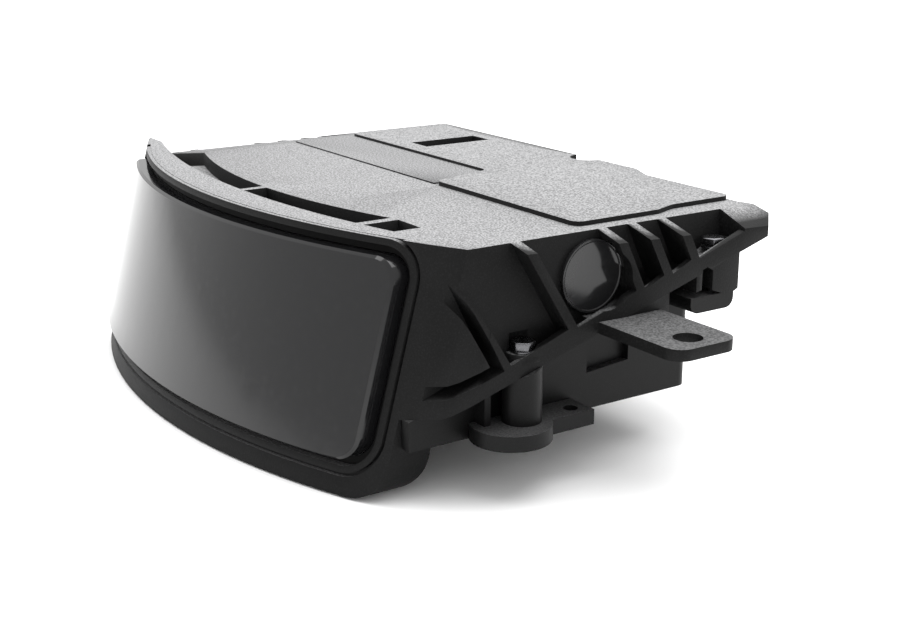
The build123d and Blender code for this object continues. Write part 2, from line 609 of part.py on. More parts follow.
# ---------------------------------------------------------------- rear connector
PIN_PITCH, PIN_SIZE, PIN_COLUMNS = 2.54, 0.64, 8
PIN_Y0, PIN_Y1 = 39.0, 53.0


def pin_row(size):
    """The pins of the connector, as square bars of the given thickness."""
    bars = []
    for column in range(PIN_COLUMNS):
        for row in (-1, 1):
            x = CONNECTOR_X + (column - (PIN_COLUMNS - 1) / 2) * PIN_PITCH
            with BuildPart() as bar:
                with BuildSketch(Plane.XZ.offset(-PIN_Y0)):
                    with Locations((x, CONNECTOR_Z + row * PIN_PITCH / 2)):
                        Rectangle(size, size)
                extrude(amount=PIN_Y0 - PIN_Y1)
            bars.append(bar.part)
    return bars


pin_holes = pin_row(PIN_SIZE + 0.06)
with BuildPart() as connector_shell:
    # flange against the rear wall, socket behind it and a plug through the wall
    with BuildSketch(Plane.XZ.offset(-BASE_Y1 - 0.8)):
        with Locations((CONNECTOR_X, CONNECTOR_Z)):
            RectangleRounded(CONNECTOR_W, CONNECTOR_H + 2.4, 2.5)
    extrude(amount=-1.6)
    with BuildSketch(Plane.XZ.offset(-BASE_Y1 - 0.8)):
        with Locations((CONNECTOR_X, CONNECTOR_Z)):
            RectangleRounded(CONNECTOR_W, CONNECTOR_H, 3.5)
    extrude(amount=BASE_Y1 + 0.8 - CONNECTOR_END_Y)
    chamfer(connector_shell.faces().sort_by(Axis.Y)[-1].edges(), 0.6)
    with BuildSketch(Plane.XZ.offset(-CONNECTOR_END_Y)):
        with Locations((CONNECTOR_X, CONNECTOR_Z)):
            RectangleRounded(CONNECTOR_W - 2 * CONNECTOR_WALL, CONNECTOR_H - 2 * CONNECTOR_WALL, 1.8)
    extrude(amount=10.0, mode=Mode.SUBTRACT)
    with BuildSketch(Plane.XZ.offset(-BASE_Y1 - 0.8)):
        with Locations((CONNECTOR_X, CONNECTOR_Z)):
            RectangleRounded(CONNECTOR_W - 4.8, CONNECTOR_H - 4.8, 1.6)
    extrude(amount=4.2)
    for hole in pin_holes:
        add(hole, mode=Mode.SUBTRACT)
save(connector_shell, "connector_shell")
save_group(pin_row(PIN_SIZE), "connector_pins")

with BuildPart() as connector_gasket:
    with BuildSketch(Plane.XZ.offset(-BASE_Y1)):
        with Locations((CONNECTOR_X, CONNECTOR_Z)):
            RectangleRounded(CONNECTOR_W, CONNECTOR_H + 2.4, 2.5)
            RectangleRounded(CONNECTOR_W - 4.4, CONNECTOR_H - 4.4, 1.8, mode=Mode.SUBTRACT)
    extrude(amount=-0.8)
save(connector_gasket, "connector_gasket")

with BuildPart() as connector_board:
    with BuildSketch(Plane.XZ.offset(-PIN_Y0 - 1.2)):
        with Locations((CONNECTOR_X, CONNECTOR_Z)):
            Rectangle(24, 11)
    extrude(amount=1.2)
    for hole in pin_holes:
        add(hole, mode=Mode.SUBTRACT)
save(connector_board, "connector_board")

# ---------------------------------------------------------------- main board
with BuildPart() as main_board:
    with BuildSketch(Plane.XY.offset(BOARD_Z)):
        with Locations((0, 6)):
            RectangleRounded(140, 60, 3)
        with Locations(*BOARD_POSTS):
            Circle(BOARD_SCREW_R + 0.1, mode=Mode.SUBTRACT)
    extrude(amount=BOARD_T)
save(main_board, "main_board")


def chip(x, y, z, width, depth, height):
    """A square-edged electronic package standing on a board."""
    with BuildPart(Plane((x, y, z))) as package:
        Box(width, depth, height, align=STAND)
        chamfer(package.edges().group_by(Axis.Z)[-1], 0.25)
    return package.part


BOARD_TOP = BOARD_Z + BOARD_T
save_group([chip(0, 5, BOARD_TOP, 22, 22, 2.2), chip(22, 5, BOARD_TOP, 10, 13, 1.2),
            chip(22, 22, BOARD_TOP, 10, 13, 1.2), chip(-24, 5, BOARD_TOP, 12, 12, 1.4),
            chip(-44, 18, BOARD_TOP, 9, 9, 1.6), chip(44, 18, BOARD_TOP, 14, 6, 3.0),
            chip(-44, -8, BOARD_TOP, 14, 6, 3.0)], "main_chips")

with BuildPart() as thermal_pad:
    with BuildSketch(Plane.XY.offset(FLOOR_Z)):
        with Locations((0, 5)):
            RectangleRounded(26, 26, 2)
    extrude(amount=BOARD_Z - FLOOR_Z)
save(thermal_pad, "thermal_pad")

# ---------------------------------------------------------------- optical bench
bench_front = front_block(FRAME_R - FRAME_DEPTH - 4.2)
with BuildPart() as optical_bench:
    with BuildSketch(Plane.XY.offset(BENCH_Z)):
        with Locations((0, (38 - 50) / 2)):
            Rectangle(2 * BENCH_X, 88)
        with Locations(*BENCH_POSTS):
            Circle(SCREW_R + 0.15, mode=Mode.SUBTRACT)
        # weight-saving windows
        with Locations((-12, 20), (-12, -8)):
            RectangleRounded(16, 18, 3, mode=Mode.SUBTRACT)
    extrude(amount=BENCH_T)
    add(bench_front, mode=Mode.SUBTRACT)
    # cradles under the laser barrel, the receiver barrel and the tilting mirror's motor
    with Locations(((LASER_X0 + LASER_X1) / 2, TILT_Y, BENCH_TOP)):
        Box(12, 10, AXIS_Z - BENCH_TOP, align=STAND)
    with Locations((RX_X, (RX_Y0 + RX_Y1) / 2, BENCH_TOP)):
        Box(12, 14, AXIS_Z - BENCH_TOP, align=STAND)
    motor_middle = (TILT_MOTOR_NEAR + TILT_MOTOR_FAR) / 2 / sqrt(2)
    with Locations(Location((TILT_X - motor_middle, TILT_Y - motor_middle, BENCH_TOP), (0, 0, 45))):
        Box(12, 8, AXIS_Z - BENCH_TOP, align=STAND)
    with Locations(Plane((LASER_X0, TILT_Y, AXIS_Z), z_dir=(1, 0, 0))):
        Cylinder(LASER_R, 40, mode=Mode.SUBTRACT)
    with Locations(Plane((RX_X, RX_Y0, AXIS_Z), z_dir=(0, 1, 0))):
        Cylinder(RX_R, 60, mode=Mode.SUBTRACT)
    with Locations(Plane((TILT_X, TILT_Y, AXIS_Z), z_dir=(-1, -1, 0))):
        Cylinder(TILT_MOTOR_R, 70, mode=Mode.SUBTRACT)
    # four studs for the power board
    with Locations((-74, 3, BENCH_TOP), (-54, 3, BENCH_TOP), (-74, 24, BENCH_TOP), (-54, 24, BENCH_TOP)):
        Cylinder(2.2, 4.0, align=STAND)
save(optical_bench, "optical_bench")

with BuildPart() as power_board:
    with BuildSketch(Plane.XY.offset(BENCH_TOP + 4.0)):
        with Locations((-64, 13.5)):
            RectangleRounded(26, 28, 2)
    extrude(amount=BOARD_T)
save(power_board, "power_board")

POWER_TOP = BENCH_TOP + 4.0 + BOARD_T
power_parts = [chip(-66, 19, POWER_TOP, 13, 13, 6.5), chip(-71, 6, POWER_TOP, 6, 8, 2.0)]
for x, y in ((-58, 7), (-58, 14)):
    with BuildPart(Plane((x, y, POWER_TOP))) as capacitor:
        Cylinder(2.9, 8.0, align=STAND)
        chamfer(capacitor.edges().group_by(Axis.Z)[-1], 0.4)
    power_parts.append(capacitor.part)
save_group(power_parts, "power_parts")

with BuildPart() as light_baffle:
    # keeps stray laser light away from the receiver
    with BuildSketch(Plane.YZ.offset(1.2)):
        Polygon((-33, BENCH_TOP), (-33, 46.5), (-24, 46.5), (-20, 51), (36, 51), (36, BENCH_TOP),
                align=None)
    extrude(amount=1.2)
    with BuildSketch(Plane.XY.offset(BENCH_TOP)):
        with Locations((-0.4, 30), (-0.4, -24)):
            Rectangle(4.4, 8)
    extrude(amount=1.0)
save(light_baffle, "light_baffle")

# ---------------------------------------------------------------- spinning polygon mirror
def spin_plane(z):
    """A level plane on the rotor's axis at height z."""
    return Plane((SPIN_X, SPIN_Y, z))


with BuildPart() as motor_base:
    with BuildSketch(spin_plane(BENCH_TOP)):
        Circle(12)
        Circle(BEARING_R + 0.02, mode=Mode.SUBTRACT)
    extrude(amount=2.0)
    with BuildSketch(spin_plane(BENCH_TOP + 2.0)):
        Circle(TUBE_R)
        Circle(BEARING_R + 0.02, mode=Mode.SUBTRACT)
    extrude(amount=13.0)
save(motor_base, "motor_base")

with BuildPart() as stator_core:
    with BuildSketch(spin_plane(33.0)):
        Circle(STATOR_R)
        Circle(TUBE_R + 0.03, mode=Mode.SUBTRACT)
        with PolarLocations(STATOR_R - 1.9, 9):
            Rectangle(2.6, 1.4, mode=Mode.SUBTRACT)
    extrude(amount=6.0)
save(stator_core, "stator")

bearings = []
for z in (29.0, 38.4):
    with BuildPart(spin_plane(z)) as bearing:
        Cylinder(BEARING_R, BEARING_H, align=STAND)
        Cylinder(SHAFT_R + 0.03, 3 * BEARING_H, mode=Mode.SUBTRACT)
    bearings.append(bearing.part)
save_group(bearings, "rotor_bearings")

with BuildPart() as rotor_shaft:
    with BuildSketch(spin_plane(27.2)):
        Circle(SHAFT_R)
    extrude(amount=22.0)
save(rotor_shaft, "rotor_shaft")

with BuildPart() as polygon_mirror:
    with BuildSketch(spin_plane(MIRROR_Z0)):
        RegularPolygon(MIRROR_R, MIRROR_FACETS)
        Circle(CUP_R, mode=Mode.SUBTRACT)
    extrude(amount=MIRROR_Z1 - 3.0 - MIRROR_Z0)
    with BuildSketch(spin_plane(MIRROR_Z1 - 3.0)):
        RegularPolygon(MIRROR_R, MIRROR_FACETS)
        Circle(SHAFT_R + 0.01, mode=Mode.SUBTRACT)
    extrude(amount=3.0)
    chamfer(polygon_mirror.faces().sort_by(Axis.Z)[-1].outer_wire().edges(), 0.5)
save(polygon_mirror, "polygon_mirror")

with BuildPart() as magnet_ring:
    with BuildSketch(spin_plane(32.0)):
        Circle(CUP_R - 0.02)
        Circle(STATOR_R + 0.45, mode=Mode.SUBTRACT)
    extrude(amount=8.0)
save(magnet_ring, "magnet_ring")

with BuildPart() as encoder_disc:
    with BuildSketch(spin_plane(MIRROR_Z1)):
        Circle(15)
        Circle(SHAFT_R + 0.01, mode=Mode.SUBTRACT)
    extrude(amount=0.9)
    with BuildSketch(spin_plane(MIRROR_Z1 + 0.9)):
        Circle(4.5)
        Circle(SHAFT_R + 0.01, mode=Mode.SUBTRACT)
    extrude(amount=1.6)
save(encoder_disc, "encoder_disc")

with BuildPart() as encoder_sensor:
    # bracket behind the mirror, reaching over the disc's edge
    with BuildSketch(Plane.YZ.offset(SPIN_X - 3)):
        Polygon((15, BENCH_TOP), (15, 48.2), (3.5, 48.2), (3.5, 50.4), (18, 50.4), (18, BENCH_TOP + 1.6),
                (21, BENCH_TOP + 1.6), (21, BENCH_TOP), align=None)
    extrude(amount=6)
    fillet(encoder_sensor.edges().filter_by(Axis.X).sort_by(Axis.Z)[-1], 0.8)
save(encoder_sensor, "encoder_sensor")

# ---------------------------------------------------------------- tilting mirror
def tilt_plane(distance):
    """Plane across the tilt axis, at a distance toward its motor."""
    step = distance / sqrt(2)
    return Plane((TILT_X - step, TILT_Y - step, AXIS_Z), x_dir=(0, 0, 1), z_dir=(-1, -1, 0))


with BuildPart() as tilt_mirror:
    with BuildSketch(tilt_plane(-TILT_W / 2)):
        Rectangle(TILT_H, TILT_T)
    extrude(amount=TILT_W)
save(tilt_mirror, "tilt_mirror")

with BuildPart() as tilt_shaft:
    # shaft with a slotted head that grips the mirror's edge
    with BuildSketch(tilt_plane(TILT_W / 2 - 2.0)):
        Rectangle(7.0, 4.4)
        Rectangle(7.0, TILT_T + 0.02, mode=Mode.SUBTRACT)
    extrude(amount=2.0)
    with BuildSketch(tilt_plane(TILT_W / 2)):
        Rectangle(7.0, 4.4)
    extrude(amount=1.4)
    with BuildSketch(tilt_plane(TILT_W / 2 + 1.4)):
        Circle(TILT_SHAFT_R)
    extrude(amount=14.0)
save(tilt_shaft, "tilt_shaft")

with BuildPart() as tilt_motor:
    with BuildSketch(tilt_plane(TILT_MOTOR_NEAR)):
        Circle(TILT_MOTOR_R)
    extrude(amount=TILT_MOTOR_FAR - TILT_MOTOR_NEAR)
    chamfer(tilt_motor.edges().filter_by(GeomType.CIRCLE), 0.6)
    with BuildSketch(tilt_plane(TILT_MOTOR_NEAR - 1)):
        Circle(TILT_SHAFT_R + 0.05)
    extrude(amount=13.5, mode=Mode.SUBTRACT)
save(tilt_motor, "tilt_motor")

# ---------------------------------------------------------------- laser and receiver
def laser_plane(x):
    """Plane across the laser's axis at depth x from the optical axis of the device."""
    return Plane((x, TILT_Y, AXIS_Z), z_dir=(1, 0, 0))


with BuildPart() as laser_barrel:
    with BuildSketch(laser_plane(LASER_X0)):
        Circle(LASER_R)
        Circle(LASER_R - 1.4, mode=Mode.SUBTRACT)
    extrude(amount=3.0)
    with BuildSketch(laser_plane(LASER_X0 + 3.0)):
        Circle(LASER_R)
        Circle(LASER_R - 2.6, mode=Mode.SUBTRACT)
    extrude(amount=LASER_X1 - LASER_X0 - 3.0)
save(laser_barrel, "laser_barrel")

with BuildPart() as laser_lens:
    with BuildSketch(laser_plane(LASER_X0 + 0.8)):
        Circle(LASER_R - 1.45)
    extrude(amount=2.2)
    chamfer(laser_lens.edges().group_by(Axis.X)[0], 0.5)
save(laser_lens, "laser_lens")

with BuildPart() as laser_diode:
    with BuildSketch(laser_plane(LASER_X1 - 3.4)):
        Circle(2.35)
    extrude(amount=2.0)
    with BuildSketch(laser_plane(LASER_X1 - 1.4)):
        Circle(2.8)
    extrude(amount=1.4)
save(laser_diode, "laser_diode")

with BuildPart() as laser_board:
    with Locations((LASER_X1, TILT_Y, 28.5)):
        Box(BOARD_T, 17, 18, align=(Align.MIN, Align.CENTER, Align.MIN))
save(laser_board, "laser_board")


def receiver_plane(y):
    """Plane across the receiver's axis at depth y."""
    return Plane((RX_X, y, AXIS_Z), z_dir=(0, 1, 0))


with BuildPart() as receiver_barrel:
    for y0, y1, bore in ((RX_Y0, -16.0, RX_R - 1.3), (-16.0, -7.0, RX_R - 2.6), (-7.0, RX_Y1, RX_R - 2.0)):
        with BuildSketch(receiver_plane(y0)):
            Circle(RX_R)
            Circle(bore, mode=Mode.SUBTRACT)
        extrude(amount=y1 - y0)
save(receiver_barrel, "receiver_barrel")

with BuildPart() as front_lens:
    with BuildSketch(receiver_plane(-19.2)):
        Circle(RX_R - 1.35)
    extrude(amount=3.2)
    chamfer(front_lens.edges().group_by(Axis.Y)[0], 1.0)
with BuildPart() as rear_lens:
    with BuildSketch(receiver_plane(-7.0)):
        Circle(RX_R - 2.05)
    extrude(amount=2.2)
save_group([front_lens.part, rear_lens.part], "receiver_lenses")

with BuildPart() as detector_board:
    with Locations((RX_X, RX_Y1, 28.0)):
        Box(24, BOARD_T, 20, align=(Align.CENTER, Align.MIN, Align.MIN))
save(detector_board, "detector_board")

with BuildPart() as detector:
    with Locations((RX_X, RX_Y1, AXIS_Z)):
        Box(7, 1.6, 7, align=(Align.CENTER, Align.MAX, Align.CENTER))
save(detector, "detector")
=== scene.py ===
# %% [markdown]
# # A lidar scanner module, dressed for its studio portrait
# The CAD model gives every casting, board and mirror its real shape and place.
# This script adds what CAD leaves plain: the textured black coat, the dark infrared
# window, rounded casting edges, detailed screws and the vent cap.  Then it lights and
# frames the scene.

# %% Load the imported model
import bpy
import json
from math import atan2, cos, radians, sin, tan
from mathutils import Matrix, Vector


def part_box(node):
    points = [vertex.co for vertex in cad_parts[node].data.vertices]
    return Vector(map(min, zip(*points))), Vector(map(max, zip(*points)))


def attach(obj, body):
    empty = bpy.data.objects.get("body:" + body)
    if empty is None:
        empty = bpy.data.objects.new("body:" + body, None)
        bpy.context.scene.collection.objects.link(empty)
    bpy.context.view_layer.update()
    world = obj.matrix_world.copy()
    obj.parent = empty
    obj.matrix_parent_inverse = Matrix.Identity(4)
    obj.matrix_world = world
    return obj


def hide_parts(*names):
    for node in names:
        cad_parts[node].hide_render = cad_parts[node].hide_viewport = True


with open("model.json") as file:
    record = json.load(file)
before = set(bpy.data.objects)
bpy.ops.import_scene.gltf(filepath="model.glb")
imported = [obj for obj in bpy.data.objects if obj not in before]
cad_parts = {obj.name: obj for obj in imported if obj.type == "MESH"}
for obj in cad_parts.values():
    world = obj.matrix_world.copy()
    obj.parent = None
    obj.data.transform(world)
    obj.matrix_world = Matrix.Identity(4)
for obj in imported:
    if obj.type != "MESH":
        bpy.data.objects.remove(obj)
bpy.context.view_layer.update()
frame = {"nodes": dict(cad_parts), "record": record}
nodes = frame["nodes"]
MM = 0.001


# %% [markdown]
# ## Shared texture and painted-light effects
# A die-cast housing wears a fine, pebbled powder coat.  Its grain, a pale top light painted
# on faces that look up, and abraded metal with a painted highlight along edges recur on
# several materials, so each is a node group with named sockets.  The groups only make masks
# and heights; each material decides what to do with them.

# %% Node group helper
def new_group(name, inputs, outputs):
    """A shader node group with float sockets; returns the group, its input and output nodes."""
    group = bpy.data.node_groups.new(name, "ShaderNodeTree")
    for socket, default in inputs:
        item = group.interface.new_socket(name=socket, in_out="INPUT", socket_type="NodeSocketFloat")
        item.default_value = default
    for socket in outputs:
        group.interface.new_socket(name=socket, in_out="OUTPUT", socket_type="NodeSocketFloat")
    return group, group.nodes.new("NodeGroupInput"), group.nodes.new("NodeGroupOutput")


def ramp(tree, value, low, high):
    """Stretch a value so that low becomes 0 and high becomes 1."""
    node = tree.nodes.new("ShaderNodeMapRange")
    node.inputs["From Min"].default_value = low
    node.inputs["From Max"].default_value = high
    tree.links.new(value, node.inputs["Value"])
    return node.outputs["Result"]


def calc(tree, operation, first, second):
    """One arithmetic step; either side may be a socket or a number."""
    node = tree.nodes.new("ShaderNodeMath")
    node.operation = operation
    for slot, side in zip(node.inputs, (first, second)):
        if isinstance(side, (int, float)):
            slot.default_value = side
        else:
            tree.links.new(side, slot)
    return node.outputs[0]


# %% Pebble grain: the powder coat's bumps and glints
GLINT_LOW, GLINT_HIGH = 0.25, 0.62
grain_group, g_in, g_out = new_group("pebble_grain", [("Scale", 2600.0), ("Detail", 3.0)],
                                     ["Height", "Glint"])
place = grain_group.nodes.new("ShaderNodeTexCoord")
cells = grain_group.nodes.new("ShaderNodeTexVoronoi")
fine = grain_group.nodes.new("ShaderNodeTexNoise")
for texture in (cells, fine):
    grain_group.links.new(place.outputs["Object"], texture.inputs["Vector"])
    grain_group.links.new(g_in.outputs["Scale"], texture.inputs["Scale"])
grain_group.links.new(g_in.outputs["Detail"], fine.inputs["Detail"])
height = calc(grain_group, "MULTIPLY", calc(grain_group, "SUBTRACT", 1.0, cells.outputs["Distance"]),
              fine.outputs[0])
grain_group.links.new(height, g_out.inputs["Height"])
grain_group.links.new(ramp(grain_group, height, GLINT_LOW, GLINT_HIGH), g_out.inputs["Glint"])

# %% [markdown]
# Level faces get a pale speckle of painted top light, in place of the light that falls
# straight down on the black coat.  The mask follows the surface normal, and it is weaker on
# low ledges, such as the mounting ears, than on the top plate.

# %% Painted top light: a fine pale speckle painted on level faces, strongest at the top
LEVEL_LOW, LEVEL_HIGH = 0.90, 0.99          # upward part of the normal
LEDGE_Z, PLATE_Z = 0.040, 0.054             # heights between which the speckle grows
LEDGE_SHARE, STEADY_SHARE = 0.35, 0.40
SPECKLE_LOW, SPECKLE_HIGH = 0.38, 0.62


def lifted(tree, value, least):
    """Raise a value that runs from 0 to 1 so that it runs from least to 1."""
    return calc(tree, "ADD", least, calc(tree, "MULTIPLY", value, 1.0 - least))


# Painted light: a pale top light painted into the colour of level faces, strongest on the top plate,
# in place of the overhead lamp's light.
top_light_group, f_in, f_out = new_group("painted_top_light", [("Amount", 0.3), ("Scale", 2200.0)], ["Mask"])
place = top_light_group.nodes.new("ShaderNodeTexCoord")
surface = top_light_group.nodes.new("ShaderNodeNewGeometry")
upward = top_light_group.nodes.new("ShaderNodeSeparateXYZ")
level = top_light_group.nodes.new("ShaderNodeSeparateXYZ")
specks = top_light_group.nodes.new("ShaderNodeTexNoise")
specks.inputs["Detail"].default_value = 1.0
top_light_group.links.new(surface.outputs["Normal"], upward.inputs["Vector"])
top_light_group.links.new(place.outputs["Object"], level.inputs["Vector"])
top_light_group.links.new(place.outputs["Object"], specks.inputs["Vector"])
top_light_group.links.new(f_in.outputs["Scale"], specks.inputs["Scale"])
facing = ramp(top_light_group, upward.outputs["Z"], LEVEL_LOW, LEVEL_HIGH)
exposed = lifted(top_light_group, ramp(top_light_group, level.outputs["Z"], LEDGE_Z, PLATE_Z), LEDGE_SHARE)
speckled = lifted(top_light_group, ramp(top_light_group, specks.outputs[0], SPECKLE_LOW, SPECKLE_HIGH),
                  STEADY_SHARE)
top_light_mask = calc(top_light_group, "MULTIPLY", calc(top_light_group, "MULTIPLY", facing, exposed), speckled)
top_light_group.links.new(calc(top_light_group, "MULTIPLY", top_light_mask, f_in.outputs["Amount"]),
                      f_out.inputs["Mask"])

# %% Abraded edges with a painted highlight: lighter metal colour where the surface bends outward
CONVEX_LOW, CONVEX_HIGH = 0.52, 0.62
BROKEN_LOW, BROKEN_HIGH = 0.3, 0.6
# Partly real abrasion, partly a painted highlight: convex edges get a lighter metal colour.
wear_highlight_group, w_in, w_out = new_group("worn_and_highlit_edges", [("Amount", 0.5), ("Scale", 300.0)], ["Mask"])
place = wear_highlight_group.nodes.new("ShaderNodeTexCoord")
surface = wear_highlight_group.nodes.new("ShaderNodeNewGeometry")
breakup = wear_highlight_group.nodes.new("ShaderNodeTexNoise")
wear_highlight_group.links.new(place.outputs["Object"], breakup.inputs["Vector"])
wear_highlight_group.links.new(w_in.outputs["Scale"], breakup.inputs["Scale"])
convex = ramp(wear_highlight_group, surface.outputs["Pointiness"], CONVEX_LOW, CONVEX_HIGH)
broken = ramp(wear_highlight_group, breakup.outputs[0], BROKEN_LOW, BROKEN_HIGH)
wear_highlight_group.links.new(calc(wear_highlight_group, "MULTIPLY", calc(wear_highlight_group, "MULTIPLY", convex, broken),
                          w_in.outputs["Amount"]), w_out.inputs["Mask"])
print("groups:", [group.name for group in bpy.data.node_groups])


# %% [markdown]
# ## Materials
# Everything outside is nearly black, so the surfaces differ by how they catch light: the
# coat is rough and grainy, the window is smooth and deep, the vent cap is moulded and glossy
# and the screws are dark plated steel.  Each material names its own colours and roughness
# range and uses the shared groups for the rest.

# %% A general maker for the opaque materials
# The first grey below is abraded metal for convex edges, partly a painted highlight.
# The second grey below is painted top light: pale grey mixed into level faces in place of the
# overhead lamp's light.
WORN_AND_LIT_METAL, PAINTED_TOP_GREY = (0.16, 0.16, 0.17), (0.38, 0.38, 0.385)
DRIFT_SHARE, DRIFT_LOW, DRIFT_HIGH = 0.15, 0.35, 0.65


def use_group(tree, group, **values):
    """Put a shared group in a material and set its sockets."""
    node = tree.nodes.new("ShaderNodeGroup")
    node.node_tree = group
    for name, value in values.items():
        node.inputs[name].default_value = value
    return node


def mix_colour(tree, mask, first, second):
    """Blend two colours (or a socket and a colour) by a mask."""
    node = tree.nodes.new("ShaderNodeMix")
    node.data_type = "RGBA"
    tree.links.new(mask, node.inputs["Factor"])
    for socket, value in ((node.inputs["A"], first), (node.inputs["B"], second)):
        if isinstance(value, tuple):
            socket.default_value = (*value, 1.0)
        else:
            tree.links.new(value, socket)
    return node.outputs["Result"]


def new_material(name, dark, light, rough, grain_scale=2600.0, bump=0.25, bump_mm=0.05,
                 metallic=0.0, specular=0.5, top_light_amount=0.0, wear_and_highlight=0.0, coat=0.0, mottle=70.0):
    """Grainy material: colour drifts from dark to light, roughness over a range."""
    material = bpy.data.materials.new(name)
    material.use_nodes = True
    tree = material.node_tree
    shader = tree.nodes["Principled BSDF"]
    shader.inputs["Metallic"].default_value = metallic
    shader.inputs["Specular IOR Level"].default_value = specular
    shader.inputs["Coat Weight"].default_value = coat
    shader.inputs["Coat Roughness"].default_value = 0.06
    place = tree.nodes.new("ShaderNodeTexCoord")
    drift = tree.nodes.new("ShaderNodeTexNoise")
    drift.inputs["Scale"].default_value = mottle
    drift.inputs["Detail"].default_value = 4.0
    tree.links.new(place.outputs["Object"], drift.inputs["Vector"])
    grain = use_group(tree, grain_group, Scale=grain_scale)
    clouds = ramp(tree, drift.outputs[0], DRIFT_LOW, DRIFT_HIGH)
    shade = calc(tree, "ADD", calc(tree, "MULTIPLY", clouds, DRIFT_SHARE),
                 calc(tree, "MULTIPLY", grain.outputs["Glint"], 1.0 - DRIFT_SHARE))
    colour = mix_colour(tree, shade, dark, light)
    # Abraded metal colour on convex edges, partly a painted highlight.
    if wear_and_highlight:
        worn_and_lit = use_group(tree, wear_highlight_group, Amount=wear_and_highlight)
        colour = mix_colour(tree, worn_and_lit.outputs["Mask"], colour, WORN_AND_LIT_METAL)
    # Painted top light: pale grey mixed into the colour of level faces.
    if top_light_amount:
        top_light_node = use_group(tree, top_light_group, Amount=top_light_amount)
        colour = mix_colour(tree, top_light_node.outputs["Mask"], colour, PAINTED_TOP_GREY)
    tree.links.new(colour, shader.inputs["Base Color"])
    spread = tree.nodes.new("ShaderNodeMapRange")
    spread.inputs["To Min"].default_value = rough[0]
    spread.inputs["To Max"].default_value = rough[1]
    tree.links.new(shade, spread.inputs["Value"])
    tree.links.new(spread.outputs["Result"], shader.inputs["Roughness"])
    relief = tree.nodes.new("ShaderNodeBump")
    relief.inputs["Strength"].default_value = bump
    relief.inputs["Distance"].default_value = bump_mm * MM
    tree.links.new(grain.outputs["Height"], relief.inputs["Height"])
    tree.links.new(relief.outputs["Normal"], shader.inputs["Normal"])
    return material


# %% The outside finishes
finishes = {}
# The two coats below carry painted top light on their level faces.
finishes["black_cast"] = new_material(
    "black_powder_coat", (0.003, 0.003, 0.003), (0.012, 0.012, 0.0125), (0.5, 0.68),
    grain_scale=2300.0, bump=0.6, bump_mm=0.09, specular=0.14, top_light_amount=0.9)
finishes["base_cast"] = new_material(
    "black_satin_coat", (0.003, 0.003, 0.003), (0.010, 0.010, 0.0105), (0.42, 0.56),
    grain_scale=3200.0, bump=0.3, bump_mm=0.04, specular=0.16, top_light_amount=0.5)
finishes["window_glass"] = new_material(
    "infrared_window", (0.006, 0.006, 0.0065), (0.008, 0.008, 0.0085), (0.10, 0.14),
    grain_scale=400.0, bump=0.02, bump_mm=0.005, specular=0.42, coat=0.0, mottle=12.0)
finishes["seal_rubber"] = new_material(
    "black_rubber", (0.002, 0.002, 0.002), (0.006, 0.006, 0.006), (0.6, 0.8),
    grain_scale=1800.0, bump=0.3, bump_mm=0.04, specular=0.1)
finishes["vent_plastic"] = new_material(
    "glossy_cap", (0.014, 0.014, 0.0145), (0.018, 0.018, 0.019), (0.10, 0.16),
    grain_scale=900.0, bump=0.03, bump_mm=0.01, specular=0.4, coat=0.0)
# The screws carry abraded metal colour on convex edges, partly a painted highlight.
finishes["screw_steel"] = new_material(
    "dark_plated_steel", (0.10, 0.10, 0.105), (0.22, 0.22, 0.23), (0.25, 0.42),
    grain_scale=3500.0, bump=0.2, bump_mm=0.02, metallic=1.0, wear_and_highlight=0.6)
finishes["connector_plastic"] = new_material(
    "connector_plastic", (0.010, 0.010, 0.010), (0.028, 0.028, 0.028), (0.4, 0.55),
    grain_scale=1500.0, bump=0.2, bump_mm=0.03)

# %% [markdown]
# The inside is shut away, but a mirror is still a mirror: when someone opens the model these
# finishes tell polished aluminium, gold-plated contacts, green solder mask and coated lenses
# apart.

# %% The inside finishes
finishes["bright_steel"] = new_material(
    "bright_steel", (0.45, 0.45, 0.46), (0.68, 0.68, 0.7), (0.18, 0.32),
    grain_scale=2500.0, bump=0.1, bump_mm=0.01, metallic=1.0)
finishes["contact_brass"] = new_material(
    "gold_contacts", (0.62, 0.42, 0.14), (0.86, 0.66, 0.28), (0.2, 0.32),
    grain_scale=2500.0, bump=0.1, bump_mm=0.01, metallic=1.0)
finishes["board_green"] = new_material(
    "solder_mask", (0.004, 0.05, 0.022), (0.012, 0.12, 0.05), (0.28, 0.42),
    grain_scale=700.0, bump=0.25, bump_mm=0.03, coat=0.3, mottle=240.0)
finishes["chip_black"] = new_material(
    "moulded_epoxy", (0.012, 0.012, 0.013), (0.035, 0.035, 0.037), (0.5, 0.66),
    grain_scale=3000.0, bump=0.25, bump_mm=0.02)
finishes["pad_grey"] = new_material(
    "thermal_pad", (0.26, 0.28, 0.31), (0.38, 0.41, 0.45), (0.7, 0.85),
    grain_scale=1400.0, bump=0.3, bump_mm=0.05)
finishes["bench_aluminium"] = new_material(
    "machined_aluminium", (0.46, 0.47, 0.48), (0.66, 0.67, 0.69), (0.26, 0.42),
    grain_scale=1800.0, bump=0.15, bump_mm=0.02, metallic=1.0)
finishes["black_sheet"] = new_material(
    "black_anodised_sheet", (0.008, 0.008, 0.009), (0.02, 0.02, 0.021), (0.5, 0.65),
    grain_scale=2600.0, bump=0.2, bump_mm=0.02)
finishes["barrel_black"] = new_material(
    "black_anodised_barrel", (0.010, 0.010, 0.011), (0.03, 0.03, 0.032), (0.3, 0.45),
    grain_scale=2600.0, bump=0.15, bump_mm=0.015)
finishes["stator_steel"] = new_material(
    "laminated_steel", (0.16, 0.15, 0.15), (0.34, 0.33, 0.33), (0.35, 0.5),
    grain_scale=2000.0, bump=0.3, bump_mm=0.03, metallic=1.0)
